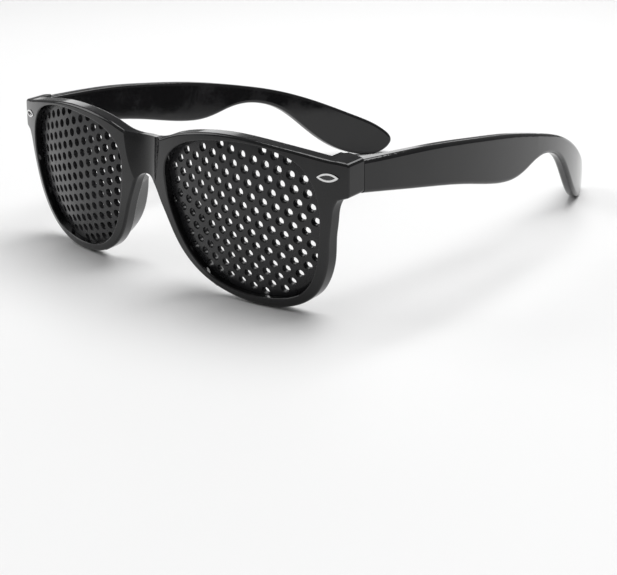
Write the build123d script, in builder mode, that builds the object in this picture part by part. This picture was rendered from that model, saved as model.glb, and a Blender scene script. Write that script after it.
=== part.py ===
from build123d import *
from math import asin, cos, degrees, radians, sin, sqrt
import os

# Pinhole glasses, unfolded and standing on a table on the rims' lower edges and the temple tips.
# Millimetres, +Z up, +X to the wearer's left, the front faces -Y. The origin is on the table,
# in the middle of the ground that the glasses cover.

# Front
lens_opening_width = 50.0
lens_opening_height = 42.6
opening_drop = 0.5          # middle of the opening below the lens apex
bridge_width = 18.4
front_width = 133.6
brow_height = 22.5          # highest point of the rim above the lens apex
rim_low_width = 2.6         # rim below the opening
rim_thickness = 3.8
face_radius = 127.5         # curve of the front's face
face_lead = 1.2             # how far the face stands in front of the lens apex
face_wrap = 7.33            # degrees that each half turns back
front_tilt = 5.0            # degrees that the brow leans forward
edge_round = 0.8
back_round = 0.5
opening_round = 0.35
end_corner_round = 1.0

# Outlines of the front, seen square to it, for the wearer's left half.
# Shares of half the opening's width and height, from the opening's middle, nose side negative
opening_shares = [
    (-1.00, 0.40), (-0.92, 0.69), (-0.70, 0.87), (-0.36, 0.965), (0.12, 1.00), (0.52, 0.94),
    (0.80, 0.79), (0.95, 0.53), (1.00, 0.18), (0.965, -0.20), (0.88, -0.57), (0.70, -0.845),
    (0.36, -0.98), (-0.05, -0.98), (-0.42, -0.86), (-0.72, -0.57), (-0.90, -0.16),
]
# Shares of half the front's width and of the brow's height above the lens apex, nose outwards
brow_shares = [
    (0.105, 0.80), (0.19, 0.885), (0.28, 0.95), (0.37, 0.985), (0.475, 1.00), (0.60, 0.978),
    (0.72, 0.929), (0.84, 0.867), (0.93, 0.815),
]
brow_middle_share = 0.77
end_top_share = 0.782
end_low_share = 0.405
# Shares of half the front's width and of the rim's depth below the lens apex, end inwards
cheek_shares = [
    (0.955, -0.335), (0.938, -0.235), (0.929, -0.08), (0.919, 0.08), (0.907, 0.33),
    (0.879, 0.57), (0.836, 0.754), (0.764, 0.90), (0.674, 0.98), (0.57, 1.00), (0.427, 0.943),
    (0.274, 0.758), (0.18, 0.488), (0.114, 0.119), (0.083, -0.052), (0.059, -0.18),
    (0.034, -0.252),
]
arch_share = -0.277

# Bridge scoop
scoop_radius = 12.0
scoop_top_half = 7.2
scoop_low_half = 4.5

# Nose pads, moulded on
pad_reach = 8.2             # furthest back of the lens apex
pad_half_length = 15.0
pad_drop = 6.5              # pad's middle below the lens apex
pad_width = 2.6
pad_inset = 0.15
pad_flare = 0.28            # sideways run for each mm back
pad_lean = 34.0             # degrees, the way that the pad faces across the nose
pad_round = 0.9

# Lenses
lens_radius = 90.0
lens_thickness = 1.2
lens_seat = 0.8             # how deep the lens edge sits in the rim
seat_clearance = 0.05
hole_pitch = 3.75
hole_front_diameter = 2.4
hole_back_diameter = 1.7
hole_overcut = 0.6
least_web = 0.3             # between a hole and the lens edge
left_hole_turn = 14.8       # degrees that the rows lean
right_hole_turn = -14.1
left_first_hole_up = 1.27   # from the lens apex
left_first_hole_out = 0.0
right_first_hole_up = 0.05
right_first_hole_out = 0.1

# End pieces and hinges
butt_depth = 13.1           # from the lens apex back to the joint with the temple
butt_gap = 0.15
hinge_inset = 2.6           # from the temple's inner face to the hinge axis
hinge_above_lens = 14.2
knuckle_radius = 2.3
knuckle_height = 6.6
knuckle_swing_gap = 0.3
tongue_height = 2.4
tongue_clearance = 0.1
tongue_root = 6.0
screw_shaft_diameter = 1.4
screw_head_diameter = 2.6
screw_head_height = 0.7
screw_clearance = 0.05
slot_width = 0.45
slot_depth = 0.35

# Corner inlays
inlay_length = 6.0
inlay_width = 2.2
inlay_depth = 1.0
inlay_proud = 0.3
inlay_rim = 0.45
inlay_dish = 0.35
inlay_turn = -3.5
inlay_from_middle = 61.8
inlay_above_lens = 14.2
inlay_clearance = 0.05

# Temples
temple_length = 148.4
temple_thickness = 3.8
temple_round = 1.1
temple_top_above_lens = 18.4
bow_front_radius = 300.0
bow_rear_radius = 200.0
bow_widest_back = 40.0      # from the butt joint to the widest place
bow_change_back = 82.0      # from the butt joint to where the curve tightens
# Shares of the temple's length, from the butt joint, and of its top's height above the table
temple_top_shares = [
    (0.0, 1.0), (0.10, 0.993), (0.193, 0.979), (0.30, 0.944), (0.437, 0.885), (0.568, 0.80),
    (0.68, 0.7066), (0.804, 0.549), (0.908, 0.378), (0.978, 0.23),
]
temple_tip_shares = [(1.0, 0.115), (0.983, 0.035), (0.938, 0.0), (0.859, 0.08)]
temple_low_shares = [
    (0.769, 0.312), (0.69, 0.533), (0.633, 0.61), (0.59, 0.632), (0.54, 0.617), (0.50, 0.583),
    (0.455, 0.560), (0.41, 0.567), (0.28, 0.655), (0.14, 0.733), (0.0, 0.797),
]

# Derived places
overrun = 40.0
lens_middle = (bridge_width + lens_opening_width) / 2
half_front = front_width / 2
rim_depth = lens_opening_height / 2 + opening_drop + rim_low_width
wrap = radians(face_wrap)
tilt = radians(front_tilt)
face_middle_x = lens_middle - (face_radius - face_lead) * sin(wrap)
face_middle_y = (face_radius - face_lead) * cos(wrap)


def face_back(x, z):
    """How far back of the lens apex the front's face lies at a place on it."""
    return face_middle_y - sqrt(face_radius**2 - (x - face_middle_x) ** 2 - z**2)


low_edge_back = face_back(lens_middle, rim_depth) + edge_round
lens_height = rim_depth * cos(tilt) - low_edge_back * sin(tilt)
brow_lead = lens_opening_height / 4 * sin(tilt) - face_back(bridge_width / 2, lens_opening_height / 4)
middle_y = (butt_depth + temple_length - brow_lead) / 2
butt_y = butt_depth - middle_y
front_plane = Plane(
    origin=(0, -middle_y, lens_height), x_dir=(1, 0, 0), z_dir=(0, -cos(tilt), -sin(tilt))
)
face_ball = front_plane.from_local_coords((face_middle_x, 0, -face_middle_y))
left_lens_plane = Plane(front_plane.location * Location((lens_middle, 0, 0), (0, face_wrap, 0)))
right_lens_plane = Plane(front_plane.location * Location((-lens_middle, 0, 0), (0, -face_wrap, 0)))
lens_ball = left_lens_plane.from_local_coords((0, 0, -lens_radius))
hinge_x = half_front - temple_thickness - hinge_inset
hinge_bottom = lens_height + hinge_above_lens - knuckle_height / 2
hinge_top = hinge_bottom + knuckle_height
tongue_bottom = lens_height + hinge_above_lens - tongue_height / 2
temple_top = lens_height + temple_top_above_lens


def on_front(x, up, out):
    """A direction given along the front, up it and out of it."""
    return front_plane.x_dir * x + front_plane.y_dir * up + front_plane.z_dir * out


def opening_points(margin):
    """Places round the lens opening, grown by a margin."""
    half_width = lens_opening_width / 2 + margin
    half_height = lens_opening_height / 2 + margin
    return [(lens_middle + x * half_width, y * half_height - opening_drop) for x, y in opening_shares]


# The front's left half: rim, half bridge and end piece from one outline, curved like a ball's skin
end_top = brow_height * end_top_share
end_low = brow_height * end_low_share
brow_points = [(x * half_front, y * brow_height) for x, y in brow_shares]
cheek_points = [(x * half_front, -y * rim_depth) for x, y in cheek_shares]
brow_middle = (0, brow_height * brow_middle_share)
arch_middle = (0, -arch_share * rim_depth)

with BuildPart() as half:
    with BuildSketch(front_plane) as half_outline:
        with BuildLine():
            Spline(brow_middle, *brow_points, (half_front, end_top), tangents=((1, 0), (1, -0.2)))
            Line((half_front, end_top), (half_front, end_low))
            Line((half_front, end_low), cheek_points[0])
            Spline(*cheek_points, arch_middle)
            Line(arch_middle, brow_middle)
        make_face()
        fillet(half_outline.vertices().group_by(Axis.X)[-1], radius=end_corner_round)
    extrude(amount=overrun, both=True)
    with Locations(face_ball):
        Sphere(face_radius, mode=Mode.INTERSECT)
        Sphere(face_radius - rim_thickness, mode=Mode.SUBTRACT)
    face_edges = half.faces().filter_by(GeomType.SPHERE).sort_by(Axis.Y)[0].edges()
    fillet(face_edges.sort_by(Axis.X)[1:], radius=edge_round)
    back_edges = half.faces().filter_by(GeomType.SPHERE).sort_by(Axis.Y)[-1].edges()
    fillet(back_edges.sort_by(Axis.X)[1:], radius=back_round)
    # Lens opening, its corners eased
    with BuildSketch(front_plane) as opening:
        with BuildLine():
            Spline(*opening_points(0), periodic=True)
        make_face()
    extrude(amount=overrun, both=True, mode=Mode.SUBTRACT)
    skins = half.faces().filter_by(GeomType.SPHERE)
    fillet([edge for skin in skins for edge in skin.inner_wires().edges()], radius=opening_round)

# End piece: the outline's outer corner carried back to the joint with the temple
with BuildPart() as end_block:
    extrude(half_outline.sketch, amount=overrun, both=True)
    with Locations(face_ball):
        Sphere(face_radius - edge_round * 2, mode=Mode.INTERSECT)
    with BuildSketch(front_plane):
        with Locations((hinge_x, cheek_points[0][1])):
            Rectangle(overrun, overrun, align=(Align.MIN, Align.MIN))
    extrude(amount=overrun, both=True, mode=Mode.INTERSECT)
    split(bisect_by=Plane.XZ.offset(-butt_y), keep=Keep.TOP)

# Fixed hinge knuckles, a boss on the end piece's inner side
with BuildPart() as knuckles:
    with BuildSketch(Plane.XY.offset(hinge_bottom)):
        with Locations((hinge_x, butt_y)):
            Circle(knuckle_radius)
            Rectangle(2 * knuckle_radius, overrun, align=(Align.CENTER, Align.MAX))
    extrude(amount=knuckle_height)
    with Locations(face_ball):
        Sphere(face_radius - edge_round * 2, mode=Mode.INTERSECT)

# Nose pad: a strip along the nose side of the rim, leaning back and outwards
lean = radians(pad_lean)
pad_points = cheek_points[10:15]
pad_outer = [(x + pad_inset * cos(lean), y + pad_inset * sin(lean)) for x, y in pad_points]
pad_inner = [(x + pad_width * cos(lean), y + pad_width * sin(lean)) for x, y in pad_points]
pad_way = on_front(pad_flare * cos(lean), pad_flare * sin(lean), -1)

with BuildPart() as pad:
    with BuildSketch(front_plane) as pad_strip:
        with BuildLine():
            Spline(*pad_outer)
            Line(pad_outer[-1], pad_inner[-1])
            Spline(*reversed(pad_inner))
            Line(pad_inner[0], pad_outer[0])
        make_face()
    extrude(amount=overrun, dir=pad_way)
    with BuildSketch(Plane(origin=front_plane.origin, x_dir=front_plane.y_dir, z_dir=(1, 0, 0))):
        with Locations((-pad_drop, 0)):
            Ellipse(pad_half_length, pad_reach)
    extrude(amount=overrun, mode=Mode.INTERSECT)
    pad_back = pad.faces().sort_by(Axis.Y)[-1]
    fillet(pad_back.edges().filter_by(lambda edge: edge.length > pad_reach), radius=pad_round)

# The groove that holds the lens
with BuildPart() as seat:
    with BuildSketch(front_plane):
        with BuildLine():
            Spline(*opening_points(lens_seat + seat_clearance), periodic=True)
        make_face()
    extrude(amount=overrun, both=True)
    with Locations(lens_ball):
        Sphere(lens_radius + seat_clearance, mode=Mode.INTERSECT)
        Sphere(lens_radius - lens_thickness - seat_clearance, mode=Mode.SUBTRACT)

# Corner inlay's pocket, square to the face there
inlay_back = face_back(inlay_from_middle, inlay_above_lens)
inlay_out = on_front(inlay_from_middle - face_middle_x, inlay_above_lens, face_middle_y - inlay_back)
inlay_flat = Plane(
    origin=front_plane.from_local_coords((inlay_from_middle, inlay_above_lens, -inlay_back)),
    x_dir=inlay_out.cross(front_plane.y_dir) * -1,
    z_dir=inlay_out,
)
inlay_plane = inlay_flat.rotated((0, 0, inlay_turn))


def draw_eye(length, width):
    """Two equal arcs that meet in a point at each end."""
    tip = length / 2
    rise = width / 2
    ThreePointArc((-tip, 0), (0, rise), (tip, 0))
    ThreePointArc((tip, 0), (0, -rise), (-tip, 0))


# Bridge scoop: a round channel, wider at the brow
top_lead = sqrt(scoop_radius**2 - scoop_top_half**2) - face_back(scoop_top_half, brow_middle[1])
low_lead = sqrt(scoop_radius**2 - scoop_low_half**2) - face_back(scoop_low_half, arch_middle[1])
scoop_low = front_plane.from_local_coords((0, arch_middle[1], low_lead))
scoop_top = front_plane.from_local_coords((0, brow_middle[1], top_lead))
scoop_plane = Plane(origin=scoop_low, x_dir=(1, 0, 0), z_dir=scoop_top - scoop_low)

with BuildPart() as front_frame:
    add(half.part)
    add(end_block.part)
    add(knuckles.part)
    add(pad.part)
    # Room for the temple's tongue between the fixed knuckles
    with BuildSketch(Plane.XY.offset(tongue_bottom - tongue_clearance)):
        with Locations((hinge_x, butt_y)):
            Circle(knuckle_radius + knuckle_swing_gap)
    extrude(amount=tongue_height + 2 * tongue_clearance, mode=Mode.SUBTRACT)
    # Screw hole and the sunk seat of its head
    with BuildSketch(Plane.XY.offset(hinge_bottom)):
        with Locations((hinge_x, butt_y)):
            Circle(screw_shaft_diameter / 2 + screw_clearance)
    extrude(amount=knuckle_height, mode=Mode.SUBTRACT)
    with BuildSketch(Plane.XY.offset(hinge_top - screw_head_height)):
        with Locations((hinge_x, butt_y)):
            Circle(screw_head_diameter / 2 + screw_clearance)
    extrude(amount=knuckle_height, mode=Mode.SUBTRACT)
    add(seat.part, mode=Mode.SUBTRACT)
    with BuildSketch(inlay_plane):
        with BuildLine():
            draw_eye(inlay_length + 2 * inlay_clearance, inlay_width + 2 * inlay_clearance)
        make_face()
    extrude(amount=inlay_depth, both=True, mode=Mode.SUBTRACT)
    mirror(about=Plane.YZ)
    with BuildSketch(scoop_plane):
        Circle(scoop_radius)
    extrude(amount=overrun, both=True, mode=Mode.SUBTRACT)

# Lenses: curved sheets with rows of tapered holes
with BuildPart() as lens_blank:
    with BuildSketch(front_plane):
        with BuildLine():
            Spline(*opening_points(lens_seat), periodic=True)
        make_face()
    extrude(amount=overrun, both=True)
    with Locations(lens_ball):
        Sphere(lens_radius, mode=Mode.INTERSECT)
        Sphere(lens_radius - lens_thickness, mode=Mode.SUBTRACT)

with BuildSketch() as hole_field:
    with BuildLine():
        Spline(*opening_points(lens_seat - least_web - hole_front_diameter / 2), periodic=True)
    make_face()

hole_taper = (hole_front_diameter - hole_back_diameter) / 2 / lens_thickness * hole_overcut
hole_front_radius = hole_front_diameter / 2 + hole_taper
hole_back_radius = hole_back_diameter / 2 - hole_taper
hole_rows = int(lens_opening_width / hole_pitch)


def hole_places(first_out, first_up, turn, side):
    """Places of the holes on a lens plane: rows of triangles, kept inside the opening."""
    places = []
    for column in range(-hole_rows, hole_rows + 1):
        for row in range(-2 * hole_rows, 2 * hole_rows + 1):
            offset = Vector(column * sqrt(3) / 2, row + column / 2) * hole_pitch
            spot = offset.rotate(Axis.Z, turn) + Vector(first_out, first_up)
            level = Vector(lens_middle + side * spot.X * cos(wrap), spot.Y)
            if hole_field.sketch.faces()[0].is_inside(level):
                sag = lens_radius - sqrt(lens_radius**2 - spot.X**2 - spot.Y**2)
                places.append((spot.X, spot.Y, -sag - lens_thickness / 2))
    return places


left_holes = hole_places(left_first_hole_out, left_first_hole_up, left_hole_turn, 1)
right_holes = hole_places(right_first_hole_out, right_first_hole_up, right_hole_turn, -1)
print("holes", len(left_holes), len(right_holes))

with BuildPart() as left_pinhole_lens:
    add(lens_blank.part)
    with Locations(left_lens_plane):
        with Locations(*left_holes):
            Cone(
                hole_back_radius, hole_front_radius, lens_thickness + 2 * hole_overcut,
                mode=Mode.SUBTRACT,
            )

with BuildPart() as right_pinhole_lens:
    mirror(lens_blank.part, about=Plane.YZ)
    with Locations(right_lens_plane):
        with Locations(*right_holes):
            Cone(
                hole_back_radius, hole_front_radius, lens_thickness + 2 * hole_overcut,
                mode=Mode.SUBTRACT,
            )

# Hinge screws: pin, sunk head and driver slot
with BuildPart() as left_hinge_screw:
    with BuildSketch(Plane.XY.offset(hinge_bottom)):
        with Locations((hinge_x, butt_y)):
            Circle(screw_shaft_diameter / 2)
    extrude(amount=knuckle_height - screw_head_height)
    with BuildSketch(Plane.XY.offset(hinge_top - screw_head_height)):
        with Locations((hinge_x, butt_y)):
            Circle(screw_head_diameter / 2)
    extrude(amount=screw_head_height)
    with BuildSketch(Plane.XY.offset(hinge_top - slot_depth)):
        with Locations((hinge_x, butt_y)):
            Rectangle(slot_width, screw_head_diameter * 2)
    extrude(amount=screw_head_height, mode=Mode.SUBTRACT)

with BuildPart() as right_hinge_screw:
    mirror(left_hinge_screw.part, about=Plane.YZ)

# Corner inlays: eye-shaped metal with a raised rim
with BuildPart() as left_corner_inlay:
    with BuildSketch(inlay_plane.offset(inlay_clearance - inlay_depth)):
        with BuildLine():
            draw_eye(inlay_length, inlay_width)
        make_face()
    extrude(amount=inlay_depth - inlay_clearance + inlay_proud)
    with BuildSketch(inlay_plane.offset(inlay_proud - inlay_dish)):
        with BuildLine():
            draw_eye(inlay_length - 4 * inlay_rim, inlay_width - 2 * inlay_rim)
        make_face()
    extrude(amount=inlay_depth, mode=Mode.SUBTRACT)

with BuildPart() as right_corner_inlay:
    mirror(left_corner_inlay.part, about=Plane.YZ)

# Temples: a side outline cut from a bowed strip, with the moving hinge knuckle
bow_edge = half_front + bow_front_radius - sqrt(bow_front_radius**2 - bow_widest_back**2)
bow_centre = (bow_edge - bow_front_radius, butt_y + bow_widest_back)
change_turn = degrees(asin((bow_change_back - bow_widest_back) / bow_front_radius))
front_turn = degrees(asin(bow_widest_back / bow_front_radius))
tail_turn = degrees(temple_length / bow_rear_radius)
temple_front = butt_y + butt_gap
temple_run = temple_length - butt_gap
side_points = [
    (temple_front + along * temple_run, up * temple_top)
    for along, up in temple_top_shares + temple_tip_shares + temple_low_shares
]
side_cut_shares = [0, 0.12, 0.24, 0.36, 0.45, 0.54, 0.63, 0.74, 0.87, 1]
root_x = half_front - temple_thickness / 2

with BuildPart() as left_temple:
    with BuildSketch():
        with BuildLine():
            front_bow = CenterArc(
                bow_centre, bow_front_radius - temple_thickness / 2,
                -2 * front_turn, 2 * front_turn + change_turn,
            )
            tail_way = Vector(bow_rear_radius - temple_thickness / 2, 0).rotate(Axis.Z, change_turn)
            CenterArc(
                (front_bow @ 1) - tail_way, bow_rear_radius - temple_thickness / 2,
                change_turn, tail_turn,
            )
        trace(line_width=temple_thickness)
    extrude(amount=temple_top + overrun, both=True)
    with BuildSketch(Plane.YZ):
        with BuildLine():
            side_line = Spline(*side_points, mode=Mode.PRIVATE)
            for start, end in zip(side_cut_shares, side_cut_shares[1:]):
                add(side_line.trim(start, end))
            Line(side_points[-1], side_points[0])
        make_face()
    extrude(amount=front_width, mode=Mode.INTERSECT)
    flank_edges = left_temple.faces().filter_by(GeomType.CYLINDER).edges()
    fillet(flank_edges.filter_by(GeomType.LINE, reverse=True), radius=temple_round)
    # Tongue between the fixed knuckles
    with BuildSketch(Plane.XY.offset(tongue_bottom)):
        with Locations((hinge_x, butt_y)):
            Circle(knuckle_radius)
        with BuildLine():
            Polyline(
                (hinge_x, temple_front), (root_x, temple_front), (root_x, temple_front + tongue_root),
                (hinge_x, butt_y + knuckle_radius), close=True,
            )
        make_face()
    extrude(amount=tongue_height)
    with BuildSketch(Plane.XY.offset(tongue_bottom)):
        with Locations((hinge_x, butt_y)):
            Circle(screw_shaft_diameter / 2 + screw_clearance)
    extrude(amount=tongue_height, mode=Mode.SUBTRACT)

with BuildPart() as right_temple:
    mirror(left_temple.part, about=Plane.YZ)

# One STEP file for each piece
os.makedirs("parts", exist_ok=True)
front_frame.part.label = "front_frame"
export_step(front_frame.part, "parts/front_frame.step")
left_pinhole_lens.part.label = "left_pinhole_lens"
export_step(left_pinhole_lens.part, "parts/left_pinhole_lens.step")
right_pinhole_lens.part.label = "right_pinhole_lens"
export_step(right_pinhole_lens.part, "parts/right_pinhole_lens.step")
left_temple.part.label = "left_temple"
export_step(left_temple.part, "parts/left_temple.step")
right_temple.part.label = "right_temple"
export_step(right_temple.part, "parts/right_temple.step")
left_hinge_screw.part.label = "left_hinge_screw"
export_step(left_hinge_screw.part, "parts/left_hinge_screw.step")
right_hinge_screw.part.label = "right_hinge_screw"
export_step(right_hinge_screw.part, "parts/right_hinge_screw.step")
left_corner_inlay.part.label = "left_corner_inlay"
export_step(left_corner_inlay.part, "parts/left_corner_inlay.step")
right_corner_inlay.part.label = "right_corner_inlay"
export_step(right_corner_inlay.part, "parts/right_corner_inlay.step")
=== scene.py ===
import bpy
from mathutils import Matrix, Vector


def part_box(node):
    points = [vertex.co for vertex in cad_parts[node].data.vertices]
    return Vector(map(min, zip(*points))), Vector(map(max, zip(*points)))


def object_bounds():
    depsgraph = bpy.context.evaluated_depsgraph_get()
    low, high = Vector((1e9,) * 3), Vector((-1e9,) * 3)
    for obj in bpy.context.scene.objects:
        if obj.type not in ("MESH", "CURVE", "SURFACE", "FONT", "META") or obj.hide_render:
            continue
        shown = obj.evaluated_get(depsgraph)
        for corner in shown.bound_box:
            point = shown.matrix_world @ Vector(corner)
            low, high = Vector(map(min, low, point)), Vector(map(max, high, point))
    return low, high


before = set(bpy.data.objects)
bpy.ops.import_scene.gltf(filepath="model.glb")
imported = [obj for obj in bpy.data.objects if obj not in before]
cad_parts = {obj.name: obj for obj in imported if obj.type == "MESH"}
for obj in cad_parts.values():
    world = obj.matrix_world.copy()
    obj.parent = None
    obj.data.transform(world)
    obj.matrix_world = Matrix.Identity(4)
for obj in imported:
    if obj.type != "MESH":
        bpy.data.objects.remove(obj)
cad_box = [[float(v) for v in corner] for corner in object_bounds()]
scene = bpy.context.scene

# Camera: the wearer's left and front, a little above, at arm's length.
# The picture's middle lies well below the glasses, so the lens is shifted down.
camera_place = Vector((0.2482, -0.28633, 0.11431))
camera_right = Vector((0.7419, 0.6703, -0.0135))
camera_up = Vector((-0.1701, 0.2077, 0.9633))
camera_back = Vector((0.6485, -0.7124, 0.2681))
camera_data = bpy.data.cameras.new("camera")
camera_data.lens = 69.36
camera_data.sensor_width = 36.0
camera_data.sensor_fit = "HORIZONTAL"
camera_data.shift_y = -0.158
camera_data.clip_start = 0.01
camera = bpy.data.objects.new("camera", camera_data)
scene.collection.objects.link(camera)
camera.matrix_world = Matrix((
    (camera_right.x, camera_up.x, camera_back.x, camera_place.x),
    (camera_right.y, camera_up.y, camera_back.y, camera_place.y),
    (camera_right.z, camera_up.z, camera_back.z, camera_place.z),
    (0, 0, 0, 1),
))
scene.camera = camera
scene.view_settings.view_transform = "Standard"

# Moulded front: the rims, bridge, nose pads, end pieces and fixed knuckles are one moulding of
# polished black cellulose plastic. Its gloss shows faint waves and wiping haze.
frame_black = (0.006, 0.006, 0.0065)
frame_clear_rough = 0.06
frame_haze_rough = 0.14
frame_wave_depth = 0.00001
plastic_ior = 1.46
haze_paler = 1.6
haze_low = 0.42
haze_high = 0.62
cloud_scale = 85.0
cloud_share = 0.7
smear_scale = 900.0
wave_scale = 260.0


def add_node(tree, kind, settings=None, sockets=None):
    """One node of the given type: its settings first, then its sockets' values or links."""
    node = tree.nodes.new(kind)
    for name, value in (settings or {}).items():
        setattr(node, name, value)
    for place, value in (sockets or {}).items():
        if isinstance(value, Sock):
            tree.links.new(value.out, node.inputs[place])
        else:
            node.inputs[place].default_value = value
    return node


class Sock:
    """A shader socket that takes part in Python sums."""

    def __init__(self, tree, out):
        self.tree = tree
        self.out = out

    def sum(self, operation, *numbers):
        """One Math node on sockets and plain numbers."""
        sockets = dict(enumerate(numbers))
        node = add_node(self.tree, "ShaderNodeMath", {"operation": operation}, sockets)
        return Sock(self.tree, node.outputs[0])

    def __add__(self, other):
        return self.sum("ADD", self, other)

    __radd__ = __add__

    def __mul__(self, other):
        return self.sum("MULTIPLY", self, other)

    __rmul__ = __mul__

    def __sub__(self, other):
        return self.sum("SUBTRACT", self, other)

    def __rsub__(self, other):
        return self.sum("SUBTRACT", other, self)

    def __truediv__(self, other):
        return self.sum("DIVIDE", self, other)

    def __rtruediv__(self, other):
        return self.sum("DIVIDE", other, self)

    def __abs__(self):
        return self.sum("ABSOLUTE", self)

    def ramp(self, low, high):
        """0 below low, 1 above high, smooth between them."""
        smooth = {"interpolation_type": "SMOOTHSTEP"}
        sockets = {"Value": self, "From Min": low, "From Max": high}
        node = add_node(self.tree, "ShaderNodeMapRange", smooth, sockets)
        return Sock(self.tree, node.outputs[0])

    def noise(self, scale, detail=2.0, rough=0.5):
        """Noise from 0 to 1 at this place, with about scale lumps to the metre."""
        sockets = {"Vector": self, "Scale": scale, "Detail": detail, "Roughness": rough}
        node = add_node(self.tree, "ShaderNodeTexNoise", None, sockets)
        return Sock(self.tree, node.outputs["Fac"])

    def axis(self, letter):
        """One coordinate of this place."""
        node = add_node(self.tree, "ShaderNodeSeparateXYZ", None, {"Vector": self})
        return Sock(self.tree, node.outputs[letter])

    def mix(self, low, high):
        """A colour between low and high, by this socket. 6, 7 and 2 are the node's colour sockets."""
        node = add_node(self.tree, "ShaderNodeMix", {"data_type": "RGBA"}, {0: self, 6: low, 7: high})
        return Sock(self.tree, node.outputs[2])

    def feed(self, shader, name):
        """Links this socket to the shader's socket of that name."""
        self.tree.links.new(self.out, shader.inputs[name])


def start_material(name):
    """A new material, its shader, and its Object coordinates as a socket."""
    material = bpy.data.materials.new(name)
    material.use_nodes = True
    tree = material.node_tree
    place = Sock(tree, add_node(tree, "ShaderNodeTexCoord").outputs["Object"])
    return material, tree.nodes["Principled BSDF"], place


def dress(node, material):
    """Puts the material on every slot of a CAD node."""
    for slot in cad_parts[node].material_slots:
        slot.link = "OBJECT"
        slot.material = material


def gloss_plastic(name, black, clear_rough, haze_rough, wave_depth):
    """Polished black moulding.

    Haze is a noise of 12 mm clouds plus a weaker one of 1 mm smears, ramped from 0 to 1. The
    plastic is paler and rougher under it. Waves are a noise of 4 mm, as a very low bump.
    """
    material, shader, place = start_material(name)
    clouds = place.noise(cloud_scale, detail=3.0, rough=0.55)
    smears = place.noise(smear_scale, detail=2.0, rough=0.6)
    haze = (clouds * cloud_share + smears * (1 - cloud_share)).ramp(haze_low, haze_high)
    hazed_black = [channel * haze_paler for channel in black]
    haze.mix((*black, 1), (*hazed_black, 1)).feed(shader, "Base Color")
    (haze * (haze_rough - clear_rough) + clear_rough).feed(shader, "Roughness")
    waves = place.noise(wave_scale, detail=1.0, rough=0.4)
    sockets = {"Strength": 1.0, "Distance": wave_depth, "Height": waves}
    bump = add_node(place.tree, "ShaderNodeBump", None, sockets)
    Sock(place.tree, bump.outputs["Normal"]).feed(shader, "Normal")
    shader.inputs["IOR"].default_value = plastic_ior
    return material


frame_plastic = gloss_plastic(
    "frame_plastic", frame_black, frame_clear_rough, frame_haze_rough, frame_wave_depth
)
dress("front_frame", frame_plastic)

# Lenses: opaque black sheets, moulded with their tapered holes and snapped into the rims.
# They are a little duller than the rims.
lens_black = (0.012, 0.012, 0.013)
lens_clear_rough = 0.24
lens_haze_rough = 0.34
lens_wave_depth = 0.000008
lens_plastic = gloss_plastic(
    "lens_plastic", lens_black, lens_clear_rough, lens_haze_rough, lens_wave_depth
)
dress("left_pinhole_lens", lens_plastic)
dress("right_pinhole_lens", lens_plastic)

# Temples: each is one moulding, the arm, ear bend, tip and moving knuckle, of the same black
# plastic as the front. It hangs on its hinge screw.
dress("left_temple", frame_plastic)
dress("right_temple", frame_plastic)

# Hinge screws: small slotted steel screws, turned and dark plated. Each goes down through the
# knuckles of the front and its temple, and is the pin that the temple turns on.
screw_dark = (0.20, 0.20, 0.21, 1)
screw_pale = (0.34, 0.34, 0.35, 1)
screw_least_rough = 0.25
screw_rough_spread = 0.2
screw_grain_scale = 4000.0
screw_steel, screw_shader, screw_place = start_material("screw_steel")
turned = screw_place.noise(screw_grain_scale)
turned.mix(screw_dark, screw_pale).feed(screw_shader, "Base Color")
(turned * screw_rough_spread + screw_least_rough).feed(screw_shader, "Roughness")
screw_shader.inputs["Metallic"].default_value = 1.0
dress("left_hinge_screw", screw_steel)
dress("right_hinge_screw", screw_steel)

# Corner inlays: eye-shaped metal pieces pressed into pockets in the end pieces. The raised rim is
# polished bright, and the sunk middle is coloured near black and is not metallic.
well_length_share = 0.66
well_width_share = 0.5
well_edge_share = 0.08
rim_level = 0.70
rim_level_spread = 0.14
dark_well_level = 0.05
inlay_least_rough = 0.14
inlay_rough_spread = 0.12
inlay_grain_scale = 2500.0
inlay_low, inlay_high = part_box("left_corner_inlay")
inlay_middle = (inlay_low + inlay_high) / 2
inlay_half = (inlay_high - inlay_low) / 2
inlay_metal, inlay_shader, inlay_place = start_material("inlay_metal")
# On the edge of the sunk middle, its length's share squared and its width's share add up to 1.
along = (abs(inlay_place.axis("X")) - inlay_middle.x) / inlay_half.x
up = (inlay_place.axis("Z") - inlay_middle.z) / inlay_half.z
outward = along * along / well_length_share**2 + abs(up) / well_width_share
rim = outward.ramp(1.0 - well_edge_share, 1.0 + well_edge_share)
grain = inlay_place.noise(inlay_grain_scale)
# The sunk middle is coloured near black and is not metal. Only the raised rim is bright metal.
level = rim * (grain * rim_level_spread + rim_level) + (1 - rim) * dark_well_level
level.mix((0, 0, 0, 1), (1, 1, 1, 1)).feed(inlay_shader, "Base Color")
(grain * inlay_rough_spread + inlay_least_rough).feed(inlay_shader, "Roughness")
rim.feed(inlay_shader, "Metallic")
dress("left_corner_inlay", inlay_metal)
dress("right_corner_inlay", inlay_metal)

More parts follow.
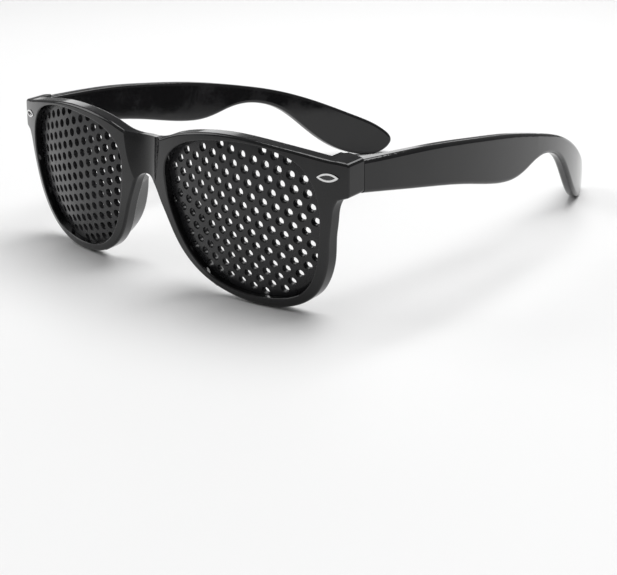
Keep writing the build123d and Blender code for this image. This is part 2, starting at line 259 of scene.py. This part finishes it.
# Floor: a plain pale table top just under the glasses, which takes their shadow.
# It is staging, and no part of the glasses.
floor_half = 3.0
floor_gap = 0.0001
floor_level = 0.8
floor_rough = 0.6
floor_mesh = bpy.data.meshes.new("floor")
floor_mesh.from_pydata(
    [(x * floor_half, y * floor_half, 0) for x, y in ((-1, -1), (1, -1), (1, 1), (-1, 1))],
    [], [(0, 1, 2, 3)],
)
floor = bpy.data.objects.new("floor", floor_mesh)
scene.collection.objects.link(floor)
floor.location.z = cad_box[0][2] - floor_gap
floor_paint, floor_shader = start_material("floor_paint")[:2]
floor_shader.inputs["Base Color"].default_value = (floor_level, floor_level, floor_level, 1)
floor_shader.inputs["Roughness"].default_value = floor_rough
floor_mesh.materials.append(floor_paint)

# World: a plain pale studio, white to the camera itself. Its light on the glasses and its
# reflections in their gloss have only room_level of that strength.
room_level = 0.22
world = bpy.data.worlds.new("studio")
scene.world = world
world.use_nodes = True
world_tree = world.node_tree
room = world_tree.nodes["Background"]
room.inputs["Color"].default_value = (1, 1, 1, 1)
light_path = add_node(world_tree, "ShaderNodeLightPath")
seen = Sock(world_tree, light_path.outputs["Is Camera Ray"])
(seen * (1.0 - room_level) + room_level).feed(room, "Strength")

# Soft boxes: three rectangular studio lamps. As the camera sees them, the strongest is overhead,
# one stands to the left, and a long one stands behind the glasses.


def soft_box(name, place, target, width, height, watts):
    """A rectangular lamp at place that faces target."""
    lamp_data = bpy.data.lights.new(name, "AREA")
    lamp_data.shape = "RECTANGLE"
    lamp_data.size = width
    lamp_data.size_y = height
    lamp_data.energy = watts
    lamp = bpy.data.objects.new(name, lamp_data)
    scene.collection.objects.link(lamp)
    way = Vector(target) - Vector(place)
    turn = way.to_track_quat("-Z", "Y").to_matrix().to_4x4()
    lamp.matrix_world = Matrix.Translation(place) @ turn


soft_box("top_box", place=(0.1, 0.35, 1.2), target=(0, 0, 0), width=1.2, height=1.2, watts=19.0)
soft_box("left_box", place=(-1.0, -0.5, 0.7), target=(0, 0, 0.02), width=0.8, height=0.8, watts=5.0)
soft_box("rear_box", place=(-1.3, 1.3, 0.62), target=(0, 0, 0.03), width=1.4, height=0.5, watts=3.4)
